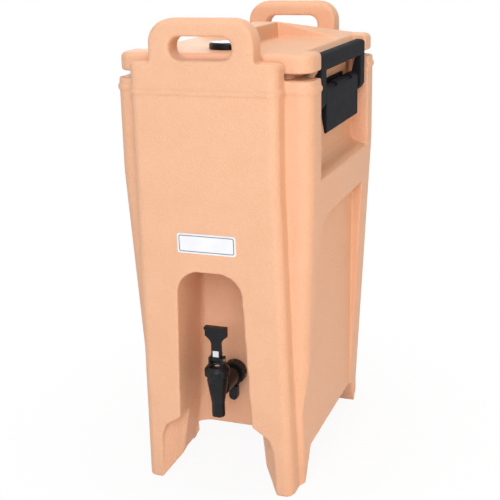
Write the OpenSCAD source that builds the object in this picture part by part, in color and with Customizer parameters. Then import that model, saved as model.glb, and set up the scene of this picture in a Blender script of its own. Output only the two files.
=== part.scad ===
// Insulated drinks dispenser: a foam-filled moulded body with a clamped lid and a lever tap.
// Millimetres. +Z is up, the front with the tap faces -Y, the floor is Z = 0.

/* [Body] */
// Width of the body across the rim
body_w = 256; // [246:1:270]
// Depth of the body between its front and back shoulders
body_d = 330; // [320:1:350]
// How far the front and back panels stand out from the shoulders
panel_proud = 30; // [24:1:36]
// Width of the front and back panels
panel_w = 190; // [180:1:200]
// Radius on the upright edges of the panels
panel_r = 12; // [6:1:16]
// Radius on the upright corners of the body
corner_r = 18; // [12:1:24]
// Height of the rim's top
rim_z = 545; // [535:1:560]
// Height at which the walls start to draw in
draft_z = 425; // [405:1:440]
// Draft angle of the front and back below that height
draft = 2.2; // [1.5:0.1:3]
// Draft angle of the sides below that height
side_draft = 2.4; // [1.5:0.1:3]
// How much wider a panel's half is at the floor than at the rim
panel_flare = 9; // [6:1:13]
// Height of the parting-line bead below the rim's top
seam_drop = 15; // [14:1:24]
// How far the bead stands out
bead_proud = 2; // [1:0.1:2.5]
// Height of the bead
bead_h = 5; // [3:0.5:8]
// Thickness of the moulded skin
skin = 4; // [3:0.5:5]

/* [Handles] */
// Height of the handle plates above the rim
plate_rise = 22; // [18:1:28]
// Height of the handle loops above the plates
handle_rise = 52; // [46:1:60]
// Width across a handle loop
handle_w = 134; // [126:1:144]
// Radius of a loop's outer corners
handle_r = 30; // [24:1:36]
// Width of a hand hole
hole_w = 80; // [72:1:88]
// Height of a hand hole
hole_h = 27; // [24:1:30]
// Height of a hand hole's lower edge above the plate
hole_rise = 4; // [2:1:8]
// Rounding of a handle's upper edges
handle_edge_r = 11; // [6:1:13]

/* [Niche and feet] */
// Width of the niche at the top of its straight sides
niche_w = 88; // [80:1:96]
// Width of the niche just above the feet
niche_low_w = 102; // [96:1:110]
// Width of the niche at the lower edge of its side walls
niche_foot_w = 120; // [112:1:124]
// Height of the niche's top
niche_top = 307; // [295:1:315]
// Radius of the niche's upper corners
niche_r = 32; // [24:1:38]
// Place of the niche's back wall behind the middle of the body's front
niche_back = 102; // [98:1:108]
// Radius of the niche's inner upright corners
niche_inner_r = 24; // [18:1:36]
// Height at which the niche widens towards the feet
flare_z = 96; // [86:1:104]
// Height at which the widened part runs straight down
flare_low_z = 64; // [60:1:70]
// Width between the feet
foot_gap = 164; // [150:1:168]
// Height of the passage under the body between the feet
under_z = 56; // [48:1:60]
// Height of the niche walls' lower edge above the floor
skirt_z = 30; // [20:1:40]
// Height of the side walls' lower edge above the floor
side_z = 44; // [36:1:50]
// Length of a foot along the side
foot_l = 44; // [36:1:56]

/* [Side recess and latch pocket] */
// Height of the side recess's top edge
recess_top = 366; // [350:1:380]
// Half width between the flat back faces of the side recesses
recess_half = 110; // [108:1:114]
// Front end of the recess's top edge
recess_front = 112; // [100:1:120]
// Rear end of the recess
recess_rear = 104; // [90:1:120]
// Radius of the recess's upper front corner
recess_r = 36; // [20:1:50]
// Length of a latch pocket
pocket_l = 244; // [240:1:248]
// Half width between the back walls of the latch pockets
pocket_half = 102.5; // [101.5:0.5:104]
// Height of the pocket's sill at the outside
sill_z = 417; // [405:1:430]
// Rise of the sill towards the back of the pocket
sill_rise = 18; // [14:1:30]

/* [Tank] */
// Inner width of the tank
tank_w = 168; // [150:1:170]
// Inner depth of the tank's upper part
tank_d = 270; // [250:1:276]
// Thickness of the tank's wall
tank_wall = 4; // [3:0.5:5]
// Height of the tank's inner floor
tank_floor = 104; // [98:1:112]
// Foam between the niche and the tank
niche_foam = 18; // [14:1:22]
// Radius of the tank's upright corners
tank_r = 16; // [12:1:24]
// Thickness of the rim flange
flange_t = 4; // [3:0.5:6]

/* [Lid] */
// Width of the lid
lid_w = 252; // [246:1:256]
// Length of the lid between the handle plates
lid_l = 324; // [316:1:325]
// Radius of the lid's corners
lid_r = 20; // [14:1:26]
// Rounding of the lid's edges
lid_edge_r = 7; // [4:0.5:9]
// Height of the shadow gap under the lid's lip
lid_gap = 7.5; // [6:0.5:10]
// Thickness of the lid's lip
lid_t = 23; // [22:1:28]
// Set-back of the lid's neck in the shadow gap
lid_setback = 13; // [10:1:16]
// Depth of the plug below the rim
plug_d = 34; // [24:1:44]
// Clearance of the plug in the tank
plug_clear = 3; // [2:0.5:4]
// Half width of the spine
spine_half = 16; // [12:1:20]
// Height of the spine and of the hump's ridge above the lid's top
spine_h = 22; // [16:1:28]
// Front end of the spine
spine_front = 50; // [40:1:60]
// Front face of the hump
hump_y = 52; // [40:1:70]
// Rear end of the hump
hump_end = 150; // [140:1:154]
// Half width of the hump
hump_half = 104; // [90:1:110]
// Width of the strip from its inner edge to the lid's notch
strip_w = 14; // [12:1:19]
// Depth of a strip below the lid's top
strip_d = 9; // [8:0.5:10]
// Fall of a strip towards the lid's edge
strip_fall = 2; // [1:0.5:3]
// Depth of the notch in the lid's edge for a latch
lid_notch = 7; // [5:0.5:8]

/* [Vent] */
// Diameter of the vent cap
vent_d = 49; // [40:1:56]
// Height of the vent cap
vent_h = 8; // [7:0.5:12]
// Distance of the vent in front of the middle
vent_y = 98; // [90:1:104]
// Bore of the vent tube
vent_bore = 10; // [8:0.5:12]
// Travel of the vent cap
vent_travel = 8; // [6:1:10]

/* [Latches] */
// Length of a bail along the side
bail_l = 224; // [218:1:230]
// Width of a bail's post
post_w = 24; // [22:1:32]
// Length of a lever
lever_l = 164; // [156:1:170]
// Height of the lever's hinge below the rim
hinge_drop = 25; // [22:1:27]
// Place of the lever's hinge outside the pocket's back wall
hinge_out = 12; // [11.5:0.1:13]
// Distance between the lever's hinge and the bail's hinge
crank = 12; // [11:0.5:13]
// Over-centre offset of the bail's hinge
over_centre = 1.2; // [0.5:0.1:2]
// Radius of the lever's barrel
barrel_r = 8.5; // [8:0.1:9]
// Length of the lever's flap below its hinge
flap_l = 51; // [46:0.5:52]
// Diameter of the lever's hinge pin
latch_pin_d = 6; // [4:0.5:7]
// Diameter of the bail's stub pins
bail_pin_d = 6; // [4:0.5:7]
// Thickness of the bail's outer wall
bail_t = 5; // [4:0.5:6]
// Clearance of the bail over the lid
bail_clear = 1; // [0.8:0.1:1.2]
// Height of the bail's bar on the outside
bar_h = 21; // [18:0.5:21.5]
// Drop of the bar's top below the lid's top
bar_drop = 5; // [4:0.5:5.5]
// Radius of the bail's upper corners
bail_r = 6; // [4:1:14]
// Thickness of the bracket's plate
bracket_t = 2.5; // [2:0.1:3]

/* [Tap] */
// Height of the shank's axis
tap_z = 139; // [132:1:144]
// Distance of the spout's axis in front of the niche's back wall
tap_reach = 68; // [62:1:72]
// Diameter of the shank
shank_d = 20; // [18:0.5:22]
// Bore of the shank
shank_bore = 12; // [10:0.5:13]
// Radius of the valve chamber's outside
valve_r = 14; // [12.5:0.1:14.5]
// Radius of the valve chamber
chamber_r = 7.5; // [7.2:0.1:7.8]
// Height of the spout's end above the floor
spout_z = 102; // [96:1:110]
// Outer radius of the spout's end
spout_r = 8.8; // [8:0.1:9.5]
// Bore of the spout
spout_bore = 10; // [8:0.5:11]
// Height of the valve body's top above the shank's axis
valve_rise = 22; // [20:1:26]
// Height of the bonnet
bonnet_h = 13; // [11:1:16]
// Height of the lever's hinge above the bonnet
lever_pin_rise = 8; // [7:0.5:10]
// Height of the lever's top above its hinge
lever_h = 46; // [40:1:52]
// Width of the lever's bar
lever_w = 30; // [26:1:34]
// Width of the lever's neck
neck_w = 13; // [12:0.5:15]
// Diameter of the coupling nut
nut_d = 34; // [30:1:36]
// Thickness of the coupling nut
nut_t = 13; // [10:1:15]
// Lift of the stem when the lever is pulled
stem_lift = 4; // [3:0.5:5]

/* [Label] */
// Width of the label
label_w = 78; // [70:1:90]
// Height of the label
label_h = 26; // [22:1:32]
// Height of the label's lower edge
label_z = 332; // [318:1:340]
// Thickness of the label
label_t = 1.2; // [0.8:0.1:2]

/* [Hidden] */
$fn = 48;
eps = 0.01;
run_fit = 0.08;
label_gap = 0.1;
big = 1000;
plate_z = rim_z + plate_rise;
top_z = plate_z + handle_rise;
seam_z = rim_z - seam_drop;
total_d = body_d + 2 * panel_proud;
floor_inset = draft_z * tan(draft);
side_inset = draft_z * tan(side_draft);
seat_gap = 0.3;
strip_run = 5;
knuckle_r = barrel_r - 2.2;
lid_base = rim_z + lid_gap;
lid_top_z = lid_base + lid_t;
niche_y = -niche_back;
tank_front = niche_y + skin + niche_foam;
tank_out_w = tank_w + 2 * tank_wall;
tank_out_d = tank_d + 2 * tank_wall;
shelf_z = niche_top + skin + niche_foam;
tap_y = niche_y - tap_reach;
valve_top = tap_z + valve_rise;
seat_z = tap_z - 12;
bonnet_top = valve_top + bonnet_h;
lever_pin_z = bonnet_top + lever_pin_rise;
hinge_x = pocket_half + hinge_out;
hinge_z = rim_z - hinge_drop;
bail_x = hinge_x - over_centre;
bail_z = hinge_z - sqrt(crank * crank - over_centre * over_centre);
lid_edge = lid_w / 2 - lid_notch;
strip_in = lid_edge - strip_w;
bail_in = lid_edge + bail_clear;
bail_out = bail_in + bail_t;
peach = [0.96, 0.72, 0.55];
black = [0.16, 0.17, 0.18];

// A rectangle w by d with round corners, centred
module round_rect(w, d, r) {
  square([w - 2 * r, d], center = true);
  square([w, d - 2 * r], center = true);
  for (sx = [-1, 1], sy = [-1, 1]) translate([sx * (w / 2 - r), sy * (d / 2 - r)]) circle(r);
}

// A slab's plan: front edge at y = 0 with round corners, going back by d
module slab_plan(w, d, r) {
  translate([-w / 2, r]) square([w, d - r]);
  translate([-w / 2 + r, 0]) square([w - 2 * r, r + eps]);
  for (s = [-1, 1]) translate([s * (w / 2 - r), r]) circle(r);
}

// Profiles drawn in X and Z, extruded along Y between two places
module along_y(y0, y1) {
  translate([0, y1, 0]) rotate([90, 0, 0]) linear_extrude(y1 - y0) children();
}

// Profiles drawn in Y and Z, extruded along X between two places
module along_x(x0, x1) {
  translate([x0, 0, 0]) rotate([90, 0, 90]) linear_extrude(x1 - x0) children();
}

// A horizontal cylinder along Y
module rod_y(d, x, z, y0, y1) {
  translate([x, y1, z]) rotate([90, 0, 0]) cylinder(d = d, h = y1 - y0);
}

// A horizontal cylinder along X
module rod_x(d, y, z, x0, x1) {
  translate([x0, y, z]) rotate([0, 90, 0]) cylinder(d = d, h = x1 - x0);
}

// A ring between two heights
module ring(d_out, d_in, z0, z1) {
  difference() {
    translate([0, 0, z0]) cylinder(d = d_out, h = z1 - z0);
    translate([0, 0, z0 - 1]) cylinder(d = d_in, h = z1 - z0 + 2);
  }
}

// The upright part of the body without its panels, drawn in by o on every side
module upper_block(o, z0, z1) {
  translate([0, 0, z0]) linear_extrude(z1 - z0)
    round_rect(body_w - 2 * o, body_d - 2 * o, corner_r - o);
}

// The drafted part of the body without its panels
module lower_block(o) {
  cx = body_w / 2 - corner_r;
  cy = body_d / 2 - corner_r;
  hull() for (sx = [-1, 1], sy = [-1, 1]) {
    translate([sx * cx, sy * cy, draft_z - 1]) cylinder(r = corner_r - o, h = 1, $fn = 40);
    translate([sx * (cx - side_inset), sy * (cy - floor_inset), -1])
      cylinder(r = corner_r - o, h = 1, $fn = 40);
  }
}

// The upright part of the front panel
module upper_panel(o, z0, z1) {
  translate([0, o - total_d / 2, z0]) linear_extrude(z1 - z0)
    slab_plan(panel_w - 2 * o, panel_proud + corner_r, panel_r - o);
}

// The drafted part of the front panel, wider at the floor
module lower_panel(o) {
  cx = panel_w / 2 - panel_r;
  cy = total_d / 2 - panel_r;
  panel_in = floor_inset - body_d / 2 + corner_r + panel_r;
  hull() for (sx = [-1, 1]) {
    translate([sx * cx, -cy, draft_z - 1]) cylinder(r = panel_r - o, h = 1, $fn = 40);
    translate([sx * cx, panel_in, draft_z - 1]) cylinder(r = panel_r - o, h = 1, $fn = 40);
    translate([sx * (cx + panel_flare), floor_inset - cy, -1])
      cylinder(r = panel_r - o, h = 1, $fn = 40);
    translate([sx * (cx + panel_flare), panel_in, -1]) cylinder(r = panel_r - o, h = 1, $fn = 40);
  }
}

// The front and the back alike
module both_ends() {
  children();
  mirror([0, 1, 0]) children();
}

// Both sides alike
module both_sides() {
  children();
  mirror([1, 0, 0]) children();
}

// The arched opening of the niche in X and Z, grown by o
module niche_outline(o) {
  top = niche_top + o;
  r = niche_r + o;
  half = niche_w / 2 + o;
  low = niche_low_w / 2 + o;
  translate([-half + r, top - r]) circle(r);
  translate([half - r, top - r]) circle(r);
  polygon([[-half + r, top], [half - r, top], [half - r, top - r], [-half + r, top - r]]);
  foot = niche_foot_w / 2 + o;
  polygon([[-half, top - r], [half, top - r], [low, flare_z], [foot, skirt_z], [foot, -1],
    [-foot, -1], [-foot, skirt_z], [-low, flare_z]]);
}

// The niche with its rounded back
module niche(o) {
  depth = total_d / 2 - niche_back + o;
  intersection() {
    along_y(-total_d, niche_y + o) niche_outline(o);
    translate([0, niche_y + o, -big / 2]) rotate([0, 0, 180]) linear_extrude(big)
      slab_plan(niche_foot_w + 2 * o, depth + 50, niche_inner_r);
  }
}

// The widening of the niche between the front feet
module niche_flare(o) {
  half = foot_gap / 2 + o;
  low = niche_low_w / 2 + o;
  foot = niche_foot_w / 2 + o;
  front = -total_d;
  step = -total_d / 2 + floor_inset;
  intersection() {
    along_y(-total_d, niche_y) polygon([
      [-low, flare_z + o], [low, flare_z + o], [half - 9, flare_z - 15 + o], [half - 3, flare_low_z + o],
      [half, -1], [-half, -1], [3 - half, flare_low_z + o], [9 - half, flare_z - 15 + o]]);
    linear_extrude(flare_z + o + 1) polygon([
      [-half, front], [half, front], [half, step + o], [foot, step + 24 + o], [low - 8, step + 34 + o],
      [8 - low, step + 34 + o], [-foot, step + 24 + o], [-half, step + o]]);
  }
}

// The slope on the inside of a front foot, on the right side
module foot_slope(o) {
  run = 33;
  rise = skirt_z + 2;
  translate([foot_gap / 2 + 2 + o, floor_inset - total_d / 2 + 4, 0]) rotate([0, 0, -20])
    along_y(-60, 70) polygon([[-run, rise + o], [6, o - 6 * rise / run], [-big / 8, o - 6 * rise / run],
      [-big / 8, rise + o]]);
}

// The passage under the body and the gaps between the feet
module under_cut(o) {
  half = foot_gap / 2 + o;
  foot_in = total_d / 2 - floor_inset - foot_l;
  along_y(niche_y - 8 - o, total_d) polygon([
    [-half, -1], [half, -1], [half - 2, under_z - 10 + o], [half - 12, under_z + o],
    [12 - half, under_z + o], [2 - half, under_z - 10 + o]]);
  along_x(-body_w, body_w) polygon([
    [-foot_in - o, -1], [foot_in + o, -1], [foot_in - 26, side_z + o], [26 - foot_in, side_z + o]]);
}

// The recess in a side wall, on the right side
module side_recess(o) {
  top = recess_top + o;
  front = -recess_front - o;
  rear = recess_rear + o;
  along_x(recess_half - o, body_w) {
    translate([front + recess_r, top - recess_r]) circle(recess_r);
    polygon([[front + recess_r, top], [rear, top], [rear - 6, -1], [front - 38, -1], [front - 34, 120],
      [front, top - recess_r], [front + recess_r, top - recess_r]]);
  }
}

// The pocket for a latch, on the right side
module latch_pocket(o) {
  back = pocket_half - o;
  along_y(-pocket_l / 2 - o, pocket_l / 2 + o) polygon([
    [body_w, sill_z - o], [body_w / 2, sill_z - o], [back + 8, sill_z + sill_rise / 3 - o],
    [back + 2.5, sill_z + sill_rise * 0.6 - o], [back, sill_z + sill_rise - o], [back, big], [body_w, big]]);
}

// The body's form below a height with every cut, drawn in by o
module body_form(o, z1) {
  difference() {
    intersection() {
      union() {
        lower_block(o);
        upper_block(o, draft_z, z1);
        both_ends() {
          lower_panel(o);
          upper_panel(o, draft_z, min(z1, rim_z - 2 * o));
        }
      }
      translate([-big / 2, -big / 2, o]) cube([big, big, big]);
    }
    niche(o);
    niche_flare(o);
    under_cut(o);
    both_sides() {
      foot_slope(o);
      side_recess(o);
      latch_pocket(o);
    }
  }
}

// The body's form between two heights near the rim
module rim_form(o, z0, z1) {
  difference() {
    union() {
      upper_block(o, z0, z1);
      both_ends() upper_panel(o, z0, min(z1, rim_z - 2 * max(o, 0)));
    }
    both_sides() latch_pocket(o);
  }
}

// Everything between two heights
module slice(z0, z1) {
  intersection() {
    children();
    translate([-big / 2, -big / 2, z0]) cube([big, big, z1 - z0]);
  }
}

// A box with a tank's round corners between two heights
module tank_box(w, y0, y1, r, z0, z1) {
  translate([0, (y0 + y1) / 2, z0]) linear_extrude(z1 - z0) round_rect(w, y1 - y0, r);
}

// The tank's inside or, grown by its wall, its outside: a deep rear part and a shelf over the niche
module tank_form(g, z_top) {
  w = tank_w + 2 * g;
  r = tank_r + g;
  tank_box(w, -tank_d / 2 - g, tank_d / 2 + g, r, shelf_z + tank_wall - g, z_top);
  tank_box(w, tank_front + tank_wall - g, tank_d / 2 + g, r, tank_floor - g, z_top);
}

// The hole for the tap's shank
module shank_hole(d) {
  rod_y(d, 0, tap_z, niche_y - 40, tank_front + tank_wall + 20);
}

// Places of the screws that hold a latch bracket
function screw_places() = [for (y = [-56, 0, 56]) [y, hinge_z - 18]];

module body_shell() {
  color(peach) difference() {
    body_form(0, seam_z);
    body_form(skin, seam_z + 1);
    shank_hole(shank_d + 0.4);
    both_sides() for (p = screw_places())
      rod_x(3.2, p[0], p[1], pocket_half - skin - 1, pocket_half + 1);
  }
}

// A loop handle on its plate, drawn in X and Z
module handle_outline() {
  half = handle_w / 2;
  plate_half = panel_w / 2 + 1;
  edge = 9;
  difference() {
    union() {
      translate([-half, plate_z - 2]) square([handle_w, handle_rise + 2 - handle_r]);
      translate([handle_r - half, plate_z - 2]) square([handle_w - 2 * handle_r, handle_rise + 2]);
      for (s = [-1, 1]) translate([s * (half - handle_r), top_z - handle_r]) circle(handle_r);
      translate([-plate_half, 0]) square([2 * plate_half, plate_z - edge]);
      translate([edge - plate_half, 0]) square([2 * (plate_half - edge), plate_z]);
      for (s = [-1, 1]) translate([s * (plate_half - edge), plate_z - edge]) circle(edge);
    }
    for (s = [-1, 1]) translate([s * (hole_w - hole_h) / 2, plate_z + hole_rise + hole_h / 2])
      circle(d = hole_h);
    translate([-(hole_w - hole_h) / 2, plate_z + hole_rise])
      square([hole_w - hole_h, hole_h]);
  }
}

// The front panel above the parting line with its plate and handle, the upper edges rounded
module front_handle() {
  y0 = -total_d / 2 - 1;
  y1 = 0.5 - body_d / 2;
  r = handle_edge_r;
  intersection() {
    upper_panel(0, seam_z, top_z + 1);
    along_y(-total_d, 0) handle_outline();
    along_x(-body_w, body_w) union() {
      translate([y0, 0]) square([y1 - y0 + corner_r, rim_z - 2]);
      translate([y0, 0]) square([y1 - y0, top_z - r]);
      translate([y0 + 1 + r, 0]) square([y1 - y0 - 1 - 2 * r, top_z]);
      for (y = [y0 + 1 + r, y1 - r]) translate([y, top_z - r]) circle(r);
    }
  }
}

module top_collar() {
  color(peach) difference() {
    union() {
      upper_block(0, seam_z, rim_z);
      both_ends() front_handle();
      rim_form(-bead_proud, seam_z, seam_z + bead_h);
    }
    rim_form(skin, seam_z - 1, rim_z + 1);
    both_sides() latch_pocket(0);
  }
}

module inner_tank() {
  color(peach) difference() {
    union() {
      tank_form(tank_wall, rim_z - flange_t + eps);
      difference() {
        upper_block(skin, rim_z - flange_t, rim_z);
        both_sides() latch_pocket(skin);
      }
    }
    tank_form(0, rim_z + 1);
    shank_hole(shank_d + 0.4);
  }
}

module foam_core() {
  color([0.93, 0.86, 0.62]) difference() {
    body_form(skin, rim_z - flange_t);
    tank_form(tank_wall, rim_z);
    shank_hole(shank_d + 0.4);
  }
}

module front_label() {
  bend_z = draft_z - 1;
  color("white") translate([0, -total_d / 2, bend_z]) rotate([draft, 0, 0])
    translate([0, -label_gap, label_z + label_h / 2 - bend_z]) rotate([90, 0, 0])
      linear_extrude(label_t) round_rect(label_w, label_h, 3);
}

// The lid's lip: round corners and round edges, between two heights
module lid_block(w, l, z0, z1, r, e) {
  low = 0.45 * e;
  h = z1 - z0;
  hull() for (sx = [-1, 1], sy = [-1, 1]) translate([sx * (w / 2 - r), sy * (l / 2 - r), z0])
    rotate_extrude($fn = 40) union() {
      square([r - e, h]);
      square([r - low, h - e]);
      translate([0, low]) square([r, h - e - low]);
      translate([r - e, h - e]) circle(e, $fn = 24);
      translate([r - low, low]) circle(low, $fn = 24);
    }
}

// The strip and the notch that a latch clamps, on the right side
module latch_strip(o) {
  half = bail_l / 2 + 3 + o;
  floor_z = lid_top_z - strip_d - o;
  along_y(-half, half) polygon([
    [strip_in - o, lid_top_z - o], [strip_in + strip_run - o, floor_z],
    [lid_edge - 4 - o, floor_z - strip_fall], [lid_edge - o, floor_z - strip_fall - 3],
    [lid_edge - o, 0], [body_w, 0], [body_w, big], [strip_in - o, big]]);
}

// The lid's top with its spine and the hump that falls away to the back, drawn in by o
module lid_form(o) {
  h = spine_h - o;
  difference() {
    union() {
      lid_block(lid_w - 2 * o, lid_l - 2 * o, lid_base, lid_top_z - o, lid_r - o,
        lid_edge_r - o / 2);
      translate([o - spine_half, -spine_front + o, lid_base])
        cube([2 * (spine_half - o), spine_front + hump_y, lid_t + h]);
      intersection() {
        along_y(hump_y + o, hump_end - o) polygon([
          [o - hump_half, lid_base + 6], [hump_half - o, lid_base + 6], [hump_half - o, lid_top_z - o],
          [spine_half - o, lid_top_z + h], [o - spine_half, lid_top_z + h],
          [o - hump_half, lid_top_z - o]]);
        along_x(-body_w, body_w) polygon([
          [hump_y + o, lid_base], [hump_end - o, lid_base], [hump_end - o, lid_top_z - o],
          [hump_y + o, lid_top_z + h]]);
      }
    }
    both_sides() latch_strip(o);
  }
}

// The bore of the vent through the lid
module vent_hole(d) {
  translate([0, -vent_y, rim_z - plug_d - 20]) cylinder(d = d, h = big / 4);
}

module lid_top() {
  color(peach) difference() {
    lid_form(0);
    slice(0, big) difference() {
      lid_form(skin);
      translate([-big / 2, -big / 2, 0]) cube([big, big, lid_base]);
    }
    translate([0, 0, lid_base - 1]) linear_extrude(1 + skin)
      round_rect(lid_w - 2 * lid_edge_r - 14, lid_l - 2 * lid_edge_r - 4, lid_r - 8);
    vent_hole(vent_bore + 5);
  }
}

module lid_pan() {
  neck_w = 2 * (pocket_half - 3);
  neck_l = lid_l - 2 * lid_setback;
  plug_w = tank_w - 2 * plug_clear;
  plug_l = tank_d - 2 * plug_clear;
  color(peach) difference() {
    union() {
      translate([0, 0, rim_z + seat_gap]) linear_extrude(lid_gap - seat_gap)
        round_rect(neck_w, neck_l, 12);
      translate([0, 0, rim_z - plug_d]) linear_extrude(plug_d + 1)
        round_rect(plug_w, plug_l, tank_r - plug_clear);
      translate([0, 0, lid_base - eps]) linear_extrude(skin)
        round_rect(lid_w - 2 * lid_edge_r - 14, lid_l - 2 * lid_edge_r - 4, lid_r - 8);
    }
    translate([0, 0, rim_z - plug_d + skin]) linear_extrude(plug_d + lid_gap + skin)
      round_rect(plug_w - 2 * skin, plug_l - 2 * skin, tank_r - plug_clear - skin);
    translate([0, 0, rim_z + seat_gap]) gasket_groove();
    vent_hole(vent_bore + 5);
  }
}

// The groove under the lid's neck, and the gasket that fills it
module gasket_groove() {
  linear_extrude(4) difference() {
    round_rect(tank_w + 22, tank_d + 24, tank_r + 10);
    round_rect(tank_w + 8, tank_d + 10, tank_r + 4);
  }
}

module lid_gasket() {
  color([0.75, 0.73, 0.7]) translate([0, 0, rim_z + seat_gap]) gasket_groove();
}

module lid_foam() {
  plug_w = tank_w - 2 * plug_clear;
  plug_l = tank_d - 2 * plug_clear;
  color([0.93, 0.86, 0.62]) difference() {
    union() {
      slice(lid_base + skin - eps, big) lid_form(skin);
      translate([0, 0, rim_z - plug_d + skin]) linear_extrude(plug_d + lid_gap)
        round_rect(plug_w - 2 * skin, plug_l - 2 * skin, tank_r - plug_clear - skin);
    }
    vent_hole(vent_bore + 5);
  }
}

module vent_tube() {
  color(black) translate([0, -vent_y, 0]) {
    ring(vent_bore + 5, vent_bore, rim_z - plug_d - 2, lid_top_z + 1.5);
    ring(vent_bore + 14, vent_bore, lid_top_z, lid_top_z + 1.5);
  }
}

module vent_cap() {
  base = lid_top_z + 0.5;
  edge = 3;
  r = vent_d / 2;
  inner = vent_bore / 2 + 8;
  color(black) translate([0, -vent_y, 0]) union() {
    difference() {
      translate([0, 0, base]) rotate_extrude() union() {
        square([r - edge, vent_h]);
        square([r, vent_h - edge]);
        translate([r - edge, vent_h - edge]) circle(edge);
      }
      translate([0, 0, base - 1]) cylinder(r = inner, h = 5.5);
    }
    translate([0, 0, lid_top_z - 20]) cylinder(d = vent_bore - 2 * run_fit, h = 20 + vent_h);
  }
}

module vent_seal() {
  color([0.3, 0.3, 0.3]) translate([0, -vent_y, 0])
    ring(vent_bore + 12, vent_bore, lid_top_z + 1.5, lid_top_z + 5);
}

// Barrel pieces of the lever and of the bracket take turns along the hinge
function lever_barrels() = [[-lever_l / 2, -52], [-24, 24], [52, lever_l / 2]];
function bracket_barrels() = [[-51.5, -24.5], [24.5, 51.5]];

module latch_bracket() {
  back = pocket_half;
  color(black) difference() {
    union() {
      along_y(-66, 66) polygon([[back, hinge_z - 26], [back + bracket_t, hinge_z - 26],
        [back + bracket_t, hinge_z + 10], [back, hinge_z + 10]]);
      for (b = bracket_barrels()) {
        rod_y(2 * knuckle_r, hinge_x, hinge_z, b[0], b[1]);
        along_y(b[0], b[1]) polygon([[back, hinge_z - 4], [hinge_x, hinge_z - 4],
          [hinge_x, hinge_z + 4], [back, hinge_z + 4]]);
      }
    }
    rod_y(latch_pin_d, hinge_x, hinge_z, -big / 4, big / 4);
    for (p = screw_places()) rod_x(4.2, p[0], p[1], back - 1, back + bracket_t + 1);
  }
}

module latch_pin() {
  color("silver") rod_y(latch_pin_d, hinge_x, hinge_z, -lever_l / 2, lever_l / 2);
}

module latch_screws() {
  color("silver") for (p = screw_places()) {
    rod_x(3.2, p[0], p[1], pocket_half - skin + 0.5, pocket_half + bracket_t + 0.5);
    rod_x(8, p[0], p[1], pocket_half + bracket_t, pocket_half + bracket_t + 2);
  }
}

// The lever's front where it passes over the bracket's knuckles, drawn in X and Z
module lever_front() {
  reach = 2 * barrel_r;
  translate([hinge_x, hinge_z]) difference() {
    union() {
      intersection() {
        circle(barrel_r);
        polygon([[0, 0], [0, -reach], [reach, -reach], [reach, reach * tan(28)]]);
      }
      translate([0, -18]) square([barrel_r, 18]);
    }
    circle(knuckle_r + 0.4);
  }
}

module latch_lever() {
  face = hinge_x + barrel_r;
  inner = hinge_x - barrel_r + 1;
  tip = hinge_z - flap_l;
  color(black) difference() {
    union() {
      for (b = lever_barrels()) {
        rod_y(2 * barrel_r, hinge_x, hinge_z, b[0], b[1]);
        along_y(b[0], b[1]) polygon([[inner, hinge_z - 18], [face, hinge_z - 18],
          [face, hinge_z], [inner, hinge_z]]);
      }
      for (y0 = [-52, 24]) along_y(y0, y0 + 28) lever_front();
      along_y(-lever_l / 2, lever_l / 2) polygon([[face - 8.5, hinge_z - 20],
        [face - 8.5, hinge_z - 9.5], [face, hinge_z - 9.5], [face, tip + 2], [face - 1, tip],
        [face - 3, tip]]);
      for (y0 = [-lever_l / 2, lever_l / 2 - 20]) along_y(y0, y0 + 20) polygon([
        [inner, hinge_z - 18], [inner + 5, hinge_z - 26], [face, hinge_z - 26],
        [face, hinge_z - 12], [inner, hinge_z - 12]]);
    }
    rod_y(latch_pin_d + 2 * run_fit, hinge_x, hinge_z, -big / 4, big / 4);
    for (s = [-1, 1])
      rod_y(bail_pin_d, bail_x, bail_z, s * lever_l / 2 - 16, s * lever_l / 2 + 16);
  }
}

module bail_pins() {
  inner_end = lever_l / 2 - 16;
  color("silver") both_ends() rod_y(bail_pin_d, bail_x, bail_z, inner_end, bail_l / 2);
}

module latch_bail() {
  bar_in = lid_edge - 6.5;
  bevel_end = strip_in + strip_run;
  slope = strip_fall / (lid_edge - 4 - bevel_end);
  under_out = lid_top_z - strip_d - strip_fall + bail_clear;
  under_in = under_out + slope * (lid_edge - 4 - bar_in);
  top = lid_top_z - bar_drop;
  half = bail_l / 2;
  knuckle = bail_pin_d / 2 + 3.5;
  color(black) difference() {
    intersection() {
      union() {
        along_y(-half, half) polygon([
          [bar_in, under_in], [lid_edge - 4, under_out], [bail_in, under_out - 2],
          [bail_in, top - bar_h], [bail_out, top - bar_h], [bail_out, top - 3.5],
          [bail_out - 3, top - 0.7], [bar_in + 1.5, top], [bar_in, top - 1.2]]);
        for (y0 = [-half, half - post_w]) {
          along_y(y0, y0 + post_w) polygon([
            [bail_in, top - 8], [bail_in, lid_base - 3], [bail_in - 4, lid_base - 8],
            [bail_x - knuckle, bail_z], [bail_x, bail_z - knuckle], [bail_out - 5, bail_z - knuckle],
            [bail_out, bail_z + 1], [bail_out, top - 8]]);
          rod_y(2 * knuckle, bail_x, bail_z, y0, y0 + post_w);
        }
      }
      along_x(0, body_w) {
        translate([-half, 0]) square([bail_l, top - bail_r]);
        translate([bail_r - half, 0]) square([bail_l - 2 * bail_r, top + 1]);
        for (s = [-1, 1]) translate([s * (half - bail_r), top - bail_r]) circle(bail_r);
      }
    }
    rod_y(bail_pin_d + 2 * run_fit, bail_x, bail_z, -big / 4, big / 4);
  }
}

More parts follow.
